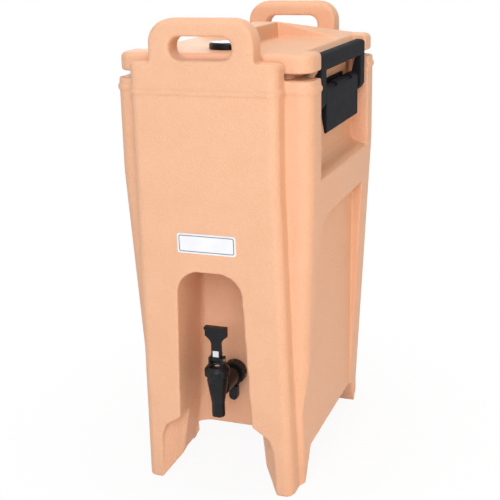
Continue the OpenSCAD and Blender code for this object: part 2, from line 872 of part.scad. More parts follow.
// The valve body: a flat-fronted tapered spout under a round chamber, with the shank behind
module tap_body() {
  taper_top = tap_z + 14;
  taper_low = spout_z + 19;
  flat = 10.2;
  flat_tilt = 2.5;
  color(black) difference() {
    union() {
      translate([0, tap_y, 0]) {
        translate([0, 0, spout_z]) cylinder(r = spout_r, h = taper_low - spout_z);
        translate([0, 0, taper_low]) cylinder(r1 = spout_r, r2 = valve_r, h = taper_top - taper_low);
        translate([0, 0, taper_top]) cylinder(r = valve_r, h = valve_top - taper_top);
      }
      rod_y(shank_d, 0, tap_z, tap_y, tank_front + tank_wall + 16);
      rod_y(shank_d + 5, 0, tap_z, tap_y + 10, niche_y - nut_t - 6);
    }
    translate([0, tap_y, 0]) {
      translate([0, 0, spout_z - 1]) cylinder(d = spout_bore, h = seat_z - spout_z + 2);
      translate([0, 0, seat_z]) cylinder(r = chamber_r, h = big / 4);
      translate([0, -flat, taper_top]) rotate([flat_tilt, 0, 0]) translate([-20, -20, -100])
        cube([40, 20, 100]);
    }
    rod_y(shank_bore, 0, tap_z, tap_y, tank_front + tank_wall + 20);
  }
}

module tap_bonnet() {
  stem_d = 7;
  grip_n = 10;
  rim_r = valve_r + 3;
  color(black) translate([0, tap_y, 0]) difference() {
    union() {
      translate([0, 0, valve_top]) cylinder(r = rim_r, h = bonnet_h - 5);
      translate([0, 0, bonnet_top - 5]) cylinder(r1 = rim_r, r2 = valve_r - 1, h = 5);
      translate([0, 0, valve_top - 6]) cylinder(r = chamber_r, h = 7);
      for (s = [-1, 1]) along_y(-6, 6) translate([s * 8.5 - 1.5, bonnet_top - 1])
        square([3, lever_pin_rise + 5]);
    }
    for (i = [0:grip_n - 1]) rotate([0, 0, (i + 0.5) * 360 / grip_n])
      translate([rim_r + 1.5, 0, valve_top - 1]) cylinder(r = 2.5, h = bonnet_h + 2);
    translate([0, 0, valve_top - 7]) cylinder(d = stem_d + 2 * run_fit, h = bonnet_h + 20);
    rod_x(4, 0, lever_pin_z, -20, 20);
  }
}

module tap_stem() {
  stem_d = 7;
  color([0.85, 0.85, 0.82]) translate([0, tap_y, 0]) {
    translate([0, 0, seat_z + 5]) cylinder(d = stem_d, h = bonnet_top - seat_z - 6);
    translate([0, 0, seat_z + 5]) cylinder(d = stem_d + 5, h = 2);
  }
}

module seat_cup() {
  color([0.9, 0.9, 0.88]) translate([0, tap_y, 0]) {
    translate([0, 0, seat_z + 0.3]) cylinder(r1 = spout_bore / 2 + 1.2, r2 = chamber_r - 1.2, h = 4.7);
  }
}

// The closing spring: its turns rise steadily round the stem
module tap_spring() {
  turns = 5;
  sides = 6;
  per_turn = 12;
  wire_r = 0.7;
  coil_r = 5.6;
  z0 = seat_z + 7 + wire_r;
  z1 = valve_top - 6 - wire_r;
  rings = turns * per_turn;
  last = rings * sides;
  function turn(i) = 360 * i / per_turn;
  function centre(i) = [coil_r * cos(turn(i)), coil_r * sin(turn(i)), z0 + (z1 - z0) * i / rings];
  pts = [for (i = [0:rings]) for (k = [0:sides - 1]) let (a = 360 * k / sides, t = turn(i))
    centre(i) + wire_r * [cos(a) * cos(t), cos(a) * sin(t), sin(a)]];
  walls = [for (i = [0:rings - 1]) for (k = [0:sides - 1])
    let (n = (k + 1) % sides, p = i * sides, q = p + sides)
    each [[p + k, q + n, p + n], [p + k, q + k, q + n]]];
  caps = [for (k = [1:sides - 2]) each [[0, k, k + 1], [last, last + k + 1, last + k]]];
  color("silver") translate([0, tap_y, 0]) polyhedron(pts, concat(walls, caps));
}

module tap_lever() {
  top = lever_pin_z + lever_h;
  bar = 13;
  color(black) translate([0, tap_y, 0]) difference() {
    union() {
      rod_x(9, 0, lever_pin_z, -neck_w / 2, neck_w / 2);
      along_y(-4, 4) translate([-neck_w / 2, lever_pin_z]) square([neck_w, 10]);
      along_y(-3, 3) polygon([[-neck_w / 2, lever_pin_z + 8], [neck_w / 2, lever_pin_z + 8],
        [neck_w / 2, top - bar - 12], [lever_w / 2, top - bar], [lever_w / 2, top],
        [-lever_w / 2, top], [-lever_w / 2, top - bar], [-neck_w / 2, top - bar - 12]]);
      along_y(-6, 3) translate([-lever_w / 2, top - 4]) square([lever_w, 4]);
    }
    rod_x(4 + 2 * run_fit, 0, lever_pin_z, -20, 20);
    along_y(-5, -3) translate([-4, lever_pin_z + 5]) square([8, 8]);
  }
}

module lever_insert() {
  color("white") translate([0, tap_y, 0]) along_y(-4.2, -3) translate([-4, lever_pin_z + 5])
    square([8, 8]);
}

module tap_lever_pin() {
  color("silver") translate([0, tap_y, 0]) rod_x(4, 0, lever_pin_z, -11, 11);
}

module coupling_nut() {
  grip_n = 12;
  y1 = niche_y - 2.5;
  y0 = y1 - nut_t;
  color(black) difference() {
    union() {
      rod_y(nut_d, 0, tap_z, y0, y1);
      along_y(y0 + 2, y1 - 3) translate([-6, tap_z - nut_d / 2 - 17]) {
        square([12, 22]);
        translate([6, 0]) circle(6);
      }
    }
    for (i = [0:grip_n - 1]) let (a = (i + 0.5) * 360 / grip_n, g = nut_d / 2 + 1)
      rod_y(4.8, g * sin(a), tap_z + g * cos(a), y0 - 1, y1 + 1);
    rod_y(shank_d, 0, tap_z, y0 - 1, y1 + 1);
  }
}

// A flat ring round the shank between two places
module shank_ring(d, y0, y1) {
  difference() {
    rod_y(d, 0, tap_z, y0, y1);
    rod_y(shank_d, 0, tap_z, y0 - 1, y1 + 1);
  }
}

module outer_washer() {
  color([0.3, 0.3, 0.3]) shank_ring(nut_d - 2, niche_y - 2.5, niche_y);
}

module inner_washer() {
  y0 = tank_front + tank_wall;
  color([0.3, 0.3, 0.3]) shank_ring(nut_d - 2, y0, y0 + 2.5);
}

module lock_nut() {
  y0 = tank_front + tank_wall + 2.5;
  color(black) difference() {
    translate([0, y0 + 9, tap_z]) rotate([90, 0, 0]) cylinder(d = nut_d, h = 9, $fn = 6);
    rod_y(shank_d, 0, tap_z, y0 - 1, y0 + 10);
  }
}

body_shell();
top_collar();
foam_core();
inner_tank();
front_label();
lid_top();
lid_pan();
lid_foam();
lid_gasket();
vent_tube();
vent_cap();
vent_seal();
latch_bracket();  // latch_bracket_right
latch_pin();  // latch_pin_right
latch_lever();  // latch_lever_right
bail_pins();  // bail_pins_right
latch_bail();  // latch_bail_right
latch_screws();  // latch_screws_right
mirror([1, 0, 0]) latch_bracket();  // latch_bracket_left
mirror([1, 0, 0]) latch_pin();  // latch_pin_left
mirror([1, 0, 0]) latch_lever();  // latch_lever_left
mirror([1, 0, 0]) bail_pins();  // bail_pins_left
mirror([1, 0, 0]) latch_bail();  // latch_bail_left
mirror([1, 0, 0]) latch_screws();  // latch_screws_left
tap_body();
tap_bonnet();
tap_lever();
tap_lever_pin();
lever_insert();
tap_stem();
seat_cup();
tap_spring();
coupling_nut();
outer_washer();
inner_washer();
lock_nut();
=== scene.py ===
# %% [markdown]
# # An insulated drinks dispenser
# The real thing is a tall moulded body with a tap in a niche, a lid on top and a black latch on each side.
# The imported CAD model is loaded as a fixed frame, and every visible piece below rides on one of its bodies.
# Lengths are in metres. The front looks towards -Y, and the floor is at zero.

# %% Load the frame
import math

import bmesh
import bpy
from mathutils import Matrix, Vector


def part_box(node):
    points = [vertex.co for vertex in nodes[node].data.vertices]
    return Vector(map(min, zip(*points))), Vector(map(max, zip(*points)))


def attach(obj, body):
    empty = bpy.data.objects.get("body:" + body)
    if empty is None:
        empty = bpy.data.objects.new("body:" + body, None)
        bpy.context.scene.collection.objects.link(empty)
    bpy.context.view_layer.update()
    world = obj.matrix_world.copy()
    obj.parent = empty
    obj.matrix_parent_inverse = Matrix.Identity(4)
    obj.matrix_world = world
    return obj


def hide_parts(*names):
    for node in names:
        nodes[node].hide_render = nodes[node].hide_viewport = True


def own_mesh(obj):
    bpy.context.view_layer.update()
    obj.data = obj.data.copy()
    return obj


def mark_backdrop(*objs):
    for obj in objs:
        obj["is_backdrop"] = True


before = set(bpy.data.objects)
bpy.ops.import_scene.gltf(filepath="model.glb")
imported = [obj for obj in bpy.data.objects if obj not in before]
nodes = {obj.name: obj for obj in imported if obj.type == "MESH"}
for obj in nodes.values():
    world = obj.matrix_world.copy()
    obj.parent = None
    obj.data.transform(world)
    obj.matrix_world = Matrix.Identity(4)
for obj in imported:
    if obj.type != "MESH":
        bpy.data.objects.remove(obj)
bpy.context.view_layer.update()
scene = bpy.context.scene
scene.view_settings.view_transform = "Standard"

# %% [markdown]
# ## Camera
# The photograph was taken from the front and a little to the right, from just above the handles.
# The place, the turn and the lens were worked out from edges whose real sizes are known, so they are plain numbers.

# %% Camera
CAMERA_PLACE = Vector((0.4552, -1.28069, 0.69733))
CAMERA_TURN = math.radians(20.08)
CAMERA_PITCH = math.radians(17.0)
CAMERA_ROLL = math.radians(-1.23)
CAMERA_LENS = 71.47
SENSOR_WIDTH = 36
FARTHEST_SEEN = 200


def added(name, data):
    """A new object with this data, linked into the scene."""
    piece = bpy.data.objects.new(name, data)
    scene.collection.objects.link(piece)
    return piece


def aimed_camera(name):
    """A camera turned about the vertical, tipped down and rolled a little."""
    ahead = Vector((-math.sin(CAMERA_TURN) * math.cos(CAMERA_PITCH),
                    math.cos(CAMERA_TURN) * math.cos(CAMERA_PITCH), -math.sin(CAMERA_PITCH)))
    level = Vector((math.cos(CAMERA_TURN), math.sin(CAMERA_TURN), 0))
    upward = level.cross(ahead)
    right = level * math.cos(CAMERA_ROLL) + upward * math.sin(CAMERA_ROLL)
    up = upward * math.cos(CAMERA_ROLL) - level * math.sin(CAMERA_ROLL)
    data = bpy.data.cameras.new(name)
    data.sensor_width = SENSOR_WIDTH
    data.lens = CAMERA_LENS
    data.clip_end = FARTHEST_SEEN
    camera = added(name, data)
    turn = Matrix((right, up, -ahead)).transposed().to_4x4()
    camera.matrix_world = Matrix.Translation(CAMERA_PLACE) @ turn
    return camera


scene.camera = aimed_camera("photo_camera")
print("camera at", [round(x, 3) for x in CAMERA_PLACE])

# %% [markdown]
# ## A shared stipple
# Rotational moulding leaves a fine pebbled skin, and the black fittings have a finer one of the same kind.
# One node group makes both: a height for the bump, a slow mottle for colour and gloss, and small flecks.

# %% Stipple node group
USUAL_GRAIN = 400.0
USUAL_PATCHES = 40.0


def link(tree, start, end):
    tree.links.new(start, end)


def make_stipple_group():
    tree = bpy.data.node_groups.new("moulded_stipple", "ShaderNodeTree")
    face = tree.interface
    for title, value in (("Grain per metre", USUAL_GRAIN), ("Patches per metre", USUAL_PATCHES)):
        face.new_socket(title, in_out="INPUT", socket_type="NodeSocketFloat").default_value = value
    for title in ("Height", "Mottle", "Fleck"):
        face.new_socket(title, in_out="OUTPUT", socket_type="NodeSocketFloat")
    into = tree.nodes.new("NodeGroupInput")
    out = tree.nodes.new("NodeGroupOutput")
    place = tree.nodes.new("ShaderNodeTexCoord")
    grain = tree.nodes.new("ShaderNodeTexNoise")
    grain.inputs["Detail"].default_value = 2.5
    grain.inputs["Roughness"].default_value = 0.55
    patches = tree.nodes.new("ShaderNodeTexNoise")
    patches.inputs["Detail"].default_value = 3.0
    fleck = tree.nodes.new("ShaderNodeTexVoronoi")
    for texture in (grain, patches, fleck):
        link(tree, place.outputs["Object"], texture.inputs["Vector"])
    link(tree, into.outputs["Grain per metre"], grain.inputs["Scale"])
    link(tree, into.outputs["Grain per metre"], fleck.inputs["Scale"])
    link(tree, into.outputs["Patches per metre"], patches.inputs["Scale"])
    link(tree, grain.outputs["Fac"], out.inputs["Height"])
    link(tree, patches.outputs["Fac"], out.inputs["Mottle"])
    link(tree, fleck.outputs["Distance"], out.inputs["Fleck"])
    return tree


stipple = make_stipple_group()
print("node group", stipple.name, "with", len(stipple.nodes), "nodes")

# %% [markdown]
# ## Parts of a finish
# A finish is a Principled shader whose colour drifts between two near tones, so that no surface is one flat colour.
# The flecks darken the colour a little, and the mottle also shifts the gloss.

# %% Parts of a finish
NOISE_SPAN = (0.3, 0.7)
MOTTLE_SPAN = (0.35, 0.65)
FLECK_SPAN = (0.1, 0.55)


def grey(value):
    return (value, value, value)


def stipple_node(tree, patches, grain=USUAL_GRAIN):
    node = tree.nodes.new("ShaderNodeGroup")
    node.node_tree = stipple
    node.inputs["Grain per metre"].default_value = grain
    node.inputs["Patches per metre"].default_value = patches
    return node


def ramp(tree, source, span, colours):
    """A colour that goes from one tone to another over a span of the source."""
    node = tree.nodes.new("ShaderNodeValToRGB")
    for element, position, colour in zip(node.color_ramp.elements, span, colours):
        element.position = position
        element.color = (*colour, 1)
    link(tree, source, node.inputs["Fac"])
    return node.outputs["Color"]


def spread(tree, source, low, high):
    """A noise value, spread over a range of roughness."""
    node = tree.nodes.new("ShaderNodeMapRange")
    node.inputs["From Min"].default_value, node.inputs["From Max"].default_value = NOISE_SPAN
    node.inputs["To Min"].default_value = low
    node.inputs["To Max"].default_value = high
    link(tree, source, node.inputs["Value"])
    return node.outputs["Result"]


def colour_mix(tree, kind="MIX"):
    node = tree.nodes.new("ShaderNodeMix")
    node.data_type = "RGBA"
    node.blend_type = kind
    return node


def bare_material(name):
    """A new material with its node tree and its Principled shader."""
    material = bpy.data.materials.new(name)
    material.use_nodes = True
    return material, material.node_tree, material.node_tree.nodes["Principled BSDF"]


def moulded_finish(name, tones, gloss, grain, patches, bump, fleck=(grey(1.0), grey(1.0)), metal=0.0, specular=0.5):
    """Two tones, a range of roughness, grain and patches per metre, and the bump's strength and depth."""
    material, tree, shader = bare_material(name)
    shader.inputs["Metallic"].default_value = metal
    shader.inputs["Specular IOR Level"].default_value = specular
    texture = stipple_node(tree, patches, grain)
    mix = colour_mix(tree, "MULTIPLY")
    mix.inputs["Factor"].default_value = 1.0
    link(tree, ramp(tree, texture.outputs["Mottle"], MOTTLE_SPAN, tones), mix.inputs["A"])
    link(tree, ramp(tree, texture.outputs["Fleck"], FLECK_SPAN, fleck), mix.inputs["B"])
    link(tree, mix.outputs["Result"], shader.inputs["Base Color"])
    link(tree, spread(tree, texture.outputs["Mottle"], *gloss), shader.inputs["Roughness"])
    relief = tree.nodes.new("ShaderNodeBump")
    relief.inputs["Strength"].default_value, relief.inputs["Distance"].default_value = bump
    link(tree, texture.outputs["Height"], relief.inputs["Height"])
    link(tree, relief.outputs["Normal"], shader.inputs["Normal"])
    return material


# %% [markdown]
# ## Finishes
# The shell is peach polyethylene with a soft sheen. The latches are satin black nylon, the tap is a glossier black.

# %% Finishes
peach = moulded_finish(
    "peach_polyethylene", tones=((0.835, 0.472, 0.284), (0.855, 0.49, 0.302)), fleck=((0.94, 0.92, 0.9), grey(1.0)),
    gloss=(0.34, 0.44), grain=520, patches=26, bump=(0.8, 0.0016), specular=0.16)
black = moulded_finish(
    "black_nylon", tones=((0.012, 0.0132, 0.0165), (0.0165, 0.018, 0.022)), fleck=(grey(0.9), grey(1.0)),
    gloss=(0.5, 0.6), grain=1500, patches=60, bump=(0.12, 0.0002), specular=0.02)
gloss_black = moulded_finish(
    "gloss_black_acetal", tones=((0.009, 0.0095, 0.0105), (0.012, 0.0125, 0.0135)),
    gloss=(0.2, 0.28), grain=900, patches=60, bump=(0.06, 0.0002), specular=0.2)
# Pale is the own colour of the valve's stem and seat. On the lever's insert it is a painted highlight for the glint
# on the lever's upper facet.
pale_and_painted_glint = moulded_finish(
    "pale_acetal", tones=((0.66, 0.67, 0.68), (0.72, 0.73, 0.74)),
    gloss=(0.3, 0.38), grain=1200, patches=60, bump=(0.08, 0.0002))
rubber = moulded_finish(
    "grey_rubber", tones=(grey(0.05), grey(0.065)),
    gloss=(0.6, 0.72), grain=1600, patches=50, bump=(0.2, 0.0002))
# The gasket's colour is painted shade: the shell's peach darkened as it looks in the gap between the lid and the
# rim.
gasket_painted_shade = moulded_finish(
    "tan_gasket_rubber", tones=((0.36, 0.19, 0.11), (0.42, 0.225, 0.13)),
    gloss=(0.55, 0.65), grain=1600, patches=50, bump=(0.2, 0.0002))
steel = moulded_finish(
    "drawn_steel", tones=((0.55, 0.55, 0.57), (0.62, 0.62, 0.64)),
    gloss=(0.25, 0.36), grain=2200, patches=120, bump=(0.1, 0.0001), metal=1.0)
foam = moulded_finish(
    "insulating_foam", tones=((0.78, 0.68, 0.42), (0.84, 0.75, 0.5)), fleck=(grey(0.85), grey(1.0)),
    gloss=(0.8, 0.9), grain=700, patches=60, bump=(0.6, 0.001))
print("finishes:", [m.name for m in (peach, black, gloss_black, pale_and_painted_glint, rubber, gasket_painted_shade, steel, foam)])

# %% [markdown]
# ## The label
# A blank white plastic card with a thin grey line printed inside its edge.
# The line is the set of points at one distance from a rounded rectangle, so a few sums on the coordinates draw it.

# %% Label finish
LABEL_MIDDLE = 0.34506
LABEL_HALF = (0.039, 0.013)
LABEL_CORNER = 0.005
LINE_INSET = 0.0027
LINE_HALF = 0.0006
LINE_COLOUR = (0.17, 0.2, 0.21, 1)
CARD_TONES = ((0.8, 0.81, 0.81), (0.86, 0.86, 0.86))


def sums(tree):
    """A helper that adds one Math node and gives back its result."""
    def add(kind, a, b=None):
        node = tree.nodes.new("ShaderNodeMath")
        node.operation = kind
        for value, socket in zip((a, b), node.inputs):
            if isinstance(value, (int, float)):
                socket.default_value = value
            elif value is not None:
                link(tree, value, socket)
        return node.outputs[0]
    return add


def printed_line(tree):
    """1 on the line and 0 beside it."""
    place = tree.nodes.new("ShaderNodeTexCoord")
    split = tree.nodes.new("ShaderNodeSeparateXYZ")
    link(tree, place.outputs["Object"], split.inputs[0])
    add = sums(tree)
    across = add("SUBTRACT", add("ABSOLUTE", split.outputs["X"]), LABEL_HALF[0] - LABEL_CORNER)
    height = add("SUBTRACT", split.outputs["Z"], LABEL_MIDDLE)
    along = add("SUBTRACT", add("ABSOLUTE", height), LABEL_HALF[1] - LABEL_CORNER)
    corner = add("SQRT", add("ADD", add("POWER", add("MAXIMUM", across, 0.0), 2.0),
                             add("POWER", add("MAXIMUM", along, 0.0), 2.0)))
    inside = add("MINIMUM", add("MAXIMUM", across, along), 0.0)
    edge = add("SUBTRACT", add("ADD", corner, inside), LABEL_CORNER)
    return add("LESS_THAN", add("ABSOLUTE", add("ADD", edge, LINE_INSET)), LINE_HALF)


def label_finish():
    material, tree, shader = bare_material("framed_label")
    mottle = stipple_node(tree, patches=70).outputs["Mottle"]
    mix = colour_mix(tree)
    mix.inputs["B"].default_value = LINE_COLOUR
    link(tree, printed_line(tree), mix.inputs["Factor"])
    link(tree, ramp(tree, mottle, NOISE_SPAN, CARD_TONES), mix.inputs["A"])
    link(tree, mix.outputs["Result"], shader.inputs["Base Color"])
    link(tree, spread(tree, mottle, 0.3, 0.4), shader.inputs["Roughness"])
    return material


label = label_finish()
print("label finish with", len(label.node_tree.nodes), "nodes")

# %% [markdown]
# ## Copies of the solids
# A visible piece starts as a copy of one or more CAD nodes. It rides on a body and stands for the nodes it replaces.

# %% Copies
WELD_DISTANCE = 1e-6


def merged_copy(name, sources):
    """One mesh from copies of CAD nodes, each with its loose triangles joined up."""
    whole = bmesh.new()
    for source in sources:
        part = bmesh.new()
        part.from_mesh(nodes[source].data)
        bmesh.ops.remove_doubles(part, verts=part.verts, dist=WELD_DISTANCE)
        mesh = bpy.data.meshes.new("part")
        part.to_mesh(mesh)
        part.free()
        whole.from_mesh(mesh)
        bpy.data.meshes.remove(mesh)
    mesh = bpy.data.meshes.new(name)
    whole.to_mesh(mesh)
    whole.free()
    return added(name, mesh)


def settle(piece):
    """Turn an object's live modifiers into a plain mesh."""
    seen = piece.evaluated_get(bpy.context.evaluated_depsgraph_get())
    mesh = bpy.data.meshes.new_from_object(seen)
    piece.modifiers.clear()
    piece.data = mesh
    piece.data.name = piece.name
    return piece


def dress(piece, material, body, replaced):
    piece.data.materials.clear()
    piece.data.materials.append(material)
    piece.data.shade_smooth()
    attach(piece, body)
    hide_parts(*replaced)
    return piece


# %% [markdown]
# ## Softened edges
# The CAD solids have crisp edges, and moulded plastic has none: every edge is rounded by a few millimetres.
# A voxel remesh welds the pieces of one moulding and a smooth rounds its edges.
# A decimate then spends triangles on curves only.

# %% Softening
SMOOTH_FACTOR = 0.5


def fade(value, start, full):
    """0 at start, 1 at full, and even in between."""
    return max(0.0, min(1.0, (value - start) / (full - start)))


def smooth(piece, rounds, group=""):
    """Add a smooth to the whole piece, or to one vertex group of it."""
    rounding = piece.modifiers.new("round", "SMOOTH")
    rounding.vertex_group = group
    rounding.factor = SMOOTH_FACTOR
    rounding.iterations = rounds


def rounder_places(piece, share):
    """A vertex group for the places that are rounded most; share gives each point's weight."""
    group = piece.vertex_groups.new(name="rounder")
    for vertex in piece.data.vertices:
        weight = share(vertex.co)
        if weight > 0:
            group.add([vertex.index], weight, "REPLACE")
    return group.name


def triangles(piece):
    return sum(len(p.vertices) - 2 for p in piece.data.polygons)


def softened(name, sources, voxel, rounds, budget, rounder=()):
    """A welded and rounded copy of CAD nodes, within a budget of triangles."""
    piece = merged_copy(name, sources)
    remesh = piece.modifiers.new("weld", "REMESH")
    remesh.mode = "VOXEL"
    remesh.voxel_size = voxel
    smooth(piece, rounds)
    settle(piece)
    for share, more in rounder:
        smooth(piece, more, rounder_places(piece, share))
        settle(piece)
    count = triangles(piece)
    if count > budget:
        thin = piece.modifiers.new("thin", "DECIMATE")
        thin.ratio = budget / count
        settle(piece)
    print(name, "had", count, "triangles, now", triangles(piece))
    return piece


# %% [markdown]
# ## The body
# The shell is one hollow moulding, drafted towards the floor, with feet, side recesses, a niche and two handles.
# Shell, collar and foam are welded here, because on the real body no seam shows between them but the soft bead.
# Four places are rounder than the rest: the handles, the rim, the inner corners of the niche and the feet.

# %% Body
# Each pair is where the extra rounding starts and where it is full.
HANDLE_RISE = (0.566, 0.574)
CORNER_INNER, CORNER_OUTER = (0.02, 0.03), (0.062, 0.054)
CORNER_FRONT, CORNER_BACK = (-0.155, -0.135), (-0.09, -0.096)
CORNER_FOOT, CORNER_TOP = (0.09, 0.11), (0.33, 0.31)
FOOT_TOP = (0.125, 0.105)
RIM_LOW, RIM_HIGH = (0.537, 0.541), (0.554, 0.55)


def on_handle(point):
    return fade(point.z, *HANDLE_RISE)


def in_niche_corner(point):
    across = fade(abs(point.x), *CORNER_INNER) * fade(abs(point.x), *CORNER_OUTER)
    along = fade(point.y, *CORNER_FRONT) * fade(point.y, *CORNER_BACK)
    return across * along * fade(point.z, *CORNER_FOOT) * fade(point.z, *CORNER_TOP)


def on_foot(point):
    return fade(point.z, *FOOT_TOP)


def on_rim(point):
    return fade(point.z, *RIM_LOW) * fade(point.z, *RIM_HIGH)


body = softened("moulded_body", ["body_shell", "top_collar", "foam_core"], voxel=0.0016, rounds=2, budget=190000,
                rounder=((on_handle, 24), (in_niche_corner, 160), (on_foot, 8), (on_rim, 8)))
dress(body, peach, "base", ["body_shell", "top_collar"])

# %% [markdown]
# ## The lid
# The lid is a second moulding with a spine along its middle and a strip at each side that the latches clamp.
# It is softened in the same way, a little more finely.

# %% Lid
lid = softened("moulded_lid", ["lid_top"], voxel=0.0013, rounds=3, budget=150000)
dress(lid, peach, "lid", ["lid_top"])

# %% [markdown]
# ## The latches
# Each latch is a lever on a bracket and a bail that hooks over the lid's strip.
# They are thinner mouldings, so their edges are rounded by about a millimetre only.

# %% Latches
for side in ("right", "left"):
    for name, part in (("latch_hook_", "bail_"), ("latch_flap_", "lever_")):
        source = "latch_" + part + side
        fitting = softened(name + side, [source], voxel=0.0009, rounds=4, budget=60000)
        dress(fitting, black, part + side, [source])

# %% [markdown]
# ## The tap and the vent's knob
# The tap is made of small black mouldings: the spout, the bonnet, the lever and the nut that clamps it to the wall.
# The knob of the vent on the lid has the same finish.
# Below the lever's finger bar the neck narrows in a hollow curve, where the solid has a straight taper.

# %% Tap
GLOSSY_PIECES = {
    "spout": ("tap_body", "base"),
    "bonnet": ("tap_bonnet", "base"),
    "pull_lever": ("tap_lever", "tap_handle"),
    "clamping_nut": ("coupling_nut", "base"),
    "vent_knob": ("vent_cap", "vent"),
}
BAR_HEIGHT = 0.013
TAPER_HEIGHT = 0.012
BAR_HALF = 0.015
NECK_HALF = 0.0065


def hollow_neck(lever, top):
    """Draw the straight taper under the finger bar in to a curve."""
    for vertex in lever.data.vertices:
        rise = fade(vertex.co.z, top - BAR_HEIGHT - TAPER_HEIGHT, top - BAR_HEIGHT)
        straight = NECK_HALF + (BAR_HALF - NECK_HALF) * rise
        curved = NECK_HALF + (BAR_HALF - NECK_HALF) * rise ** 2
        vertex.co.x *= curved / straight


for name, (source, rider) in GLOSSY_PIECES.items():
    small = softened(name, [source], voxel=0.0005, rounds=3, budget=60000)
    if name == "pull_lever":
        hollow_neck(small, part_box(source)[1][2])
    dress(small, gloss_black, rider, [source])

# %% [markdown]
# The spring in the bonnet is held at its upper end, and in the real tap the stem presses it from below. Here it is
# copied as it stands and rides on the base.

# %% Closing spring
low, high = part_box("tap_spring")
spring = merged_copy("closing_spring", ["tap_spring"])
dress(spring, steel, "base", ["tap_spring"])
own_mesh(spring)

# %% [markdown]
# ## The screws
# Three pan-head screws hold each latch bracket to the wall of its pocket.
# One head with a cross recess is modelled, and a Geometry Nodes tree sets a copy at each place along a line.

# %% One screw
HEAD_RADIUS = 0.004
HEAD_HEIGHT = 0.002
HEAD_FLAT = 0.35
DOME_STEPS = 6
SHANK_RADIUS = 0.0016
SHANK_LENGTH = 0.0055
SCREW_SIDES = 24
CROSS_WIDTH = 0.0008
CROSS_LENGTH = 0.0044
CROSS_DEPTH = 0.0009
CROSS_NARROW, CROSS_WIDE = 0.55, 1.3
BOX_FACES = ((0, 1, 2, 3), (7, 6, 5, 4), (0, 4, 5, 1), (1, 5, 6, 2), (2, 6, 7, 3), (3, 7, 4, 0))


def solid_from(name, mesh):
    """An object from a bmesh, with its faces turned outwards."""
    bmesh.ops.recalc_face_normals(mesh, faces=mesh.faces)
    data = bpy.data.meshes.new(name)
    mesh.to_mesh(data)
    mesh.free()
    return added(name, data)


def turned_solid(name, profile, sides):
    """A closed solid turned about X from pairs of place and radius that start and end on the axis."""
    mesh = bmesh.new()
    angles = [2 * math.pi * i / sides for i in range(sides)]
    rings = []
    for x, radius in profile:
        if radius == 0:
            rings.append([mesh.verts.new((x, 0, 0))])
        else:
            rings.append([mesh.verts.new((x, radius * math.cos(a), radius * math.sin(a))) for a in angles])
    for low, high in zip(rings, rings[1:]):
        for i in range(sides):
            corners = [low[i % len(low)], low[(i + 1) % len(low)], high[(i + 1) % len(high)], high[i % len(high)]]
            mesh.faces.new(list(dict.fromkeys(corners)))
    return solid_from(name, mesh)


def cross_recess(name, top):
    """A cutter in the shape of a cross that narrows as it goes down, with its open end above the head."""
    mesh = bmesh.new()
    for turn in (0, math.pi / 2):
        corners = []
        for x, share in ((top - CROSS_DEPTH, CROSS_NARROW), (top + CROSS_DEPTH, CROSS_WIDE)):
            for y, z in ((-1, -1), (1, -1), (1, 1), (-1, 1)):
                point = Vector((x, y * CROSS_WIDTH / 2 * share, z * CROSS_LENGTH / 2 * share))
                corners.append(mesh.verts.new(Matrix.Rotation(turn, 3, "X") @ point))
        for face in BOX_FACES:
            mesh.faces.new([corners[i] for i in face])
    return solid_from(name, mesh)


dome_angles = [math.pi / 2 * i / DOME_STEPS for i in range(DOME_STEPS + 1)]
dome = [(HEAD_HEIGHT * math.sin(a), HEAD_RADIUS * (HEAD_FLAT + (1 - HEAD_FLAT) * math.cos(a))) for a in dome_angles]
shank = [(-SHANK_LENGTH, 0), (-SHANK_LENGTH, SHANK_RADIUS), (0, SHANK_RADIUS)]
screw = turned_solid("screw", shank + dome + [(HEAD_HEIGHT, 0)], SCREW_SIDES)
recess = cross_recess("cross_recess", HEAD_HEIGHT)
cut = screw.modifiers.new("cross", "BOOLEAN")
cut.object = recess
cut.solver = "EXACT"
cut.use_self = True
settle(screw)
bpy.data.objects.remove(recess)
print("one screw has", len(screw.data.polygons), "faces")

# %% [markdown]
# The tree lays out points on a line, puts the screw on each, makes the copies real and gives them their finish.
# The two sides differ only in the first place and in the half turn that points the heads outwards.

# %% Rows of screws
SCREWS_IN_ROW = 3
ROW_INPUTS = {
    "Screw": "NodeSocketObject", "Screws": "NodeSocketInt", "First place": "NodeSocketVector",
    "Step": "NodeSocketVector", "Turn": "NodeSocketVector", "Finish": "NodeSocketMaterial",
}


def screw_row_tree():
    tree = bpy.data.node_groups.new("screw_row", "GeometryNodeTree")
    for title, kind in ROW_INPUTS.items():
        tree.interface.new_socket(title, in_out="INPUT", socket_type=kind)
    tree.interface.new_socket("Geometry", in_out="OUTPUT", socket_type="NodeSocketGeometry")
    into = tree.nodes.new("NodeGroupInput")
    out = tree.nodes.new("NodeGroupOutput")
    row = tree.nodes.new("GeometryNodeMeshLine")
    shape = tree.nodes.new("GeometryNodeObjectInfo")
    copies = tree.nodes.new("GeometryNodeInstanceOnPoints")
    real = tree.nodes.new("GeometryNodeRealizeInstances")
    dressed = tree.nodes.new("GeometryNodeSetMaterial")
    link(tree, into.outputs["Screws"], row.inputs["Count"])
    link(tree, into.outputs["First place"], row.inputs["Start Location"])
    link(tree, into.outputs["Step"], row.inputs["Offset"])
    link(tree, into.outputs["Screw"], shape.inputs["Object"])
    link(tree, row.outputs["Mesh"], copies.inputs["Points"])
    link(tree, shape.outputs["Geometry"], copies.inputs["Instance"])
    link(tree, into.outputs["Turn"], copies.inputs["Rotation"])
    link(tree, copies.outputs["Instances"], real.inputs["Geometry"])
    link(tree, real.outputs["Geometry"], dressed.inputs["Geometry"])
    link(tree, into.outputs["Finish"], dressed.inputs["Material"])
    link(tree, dressed.outputs["Geometry"], out.inputs["Geometry"])
    return tree


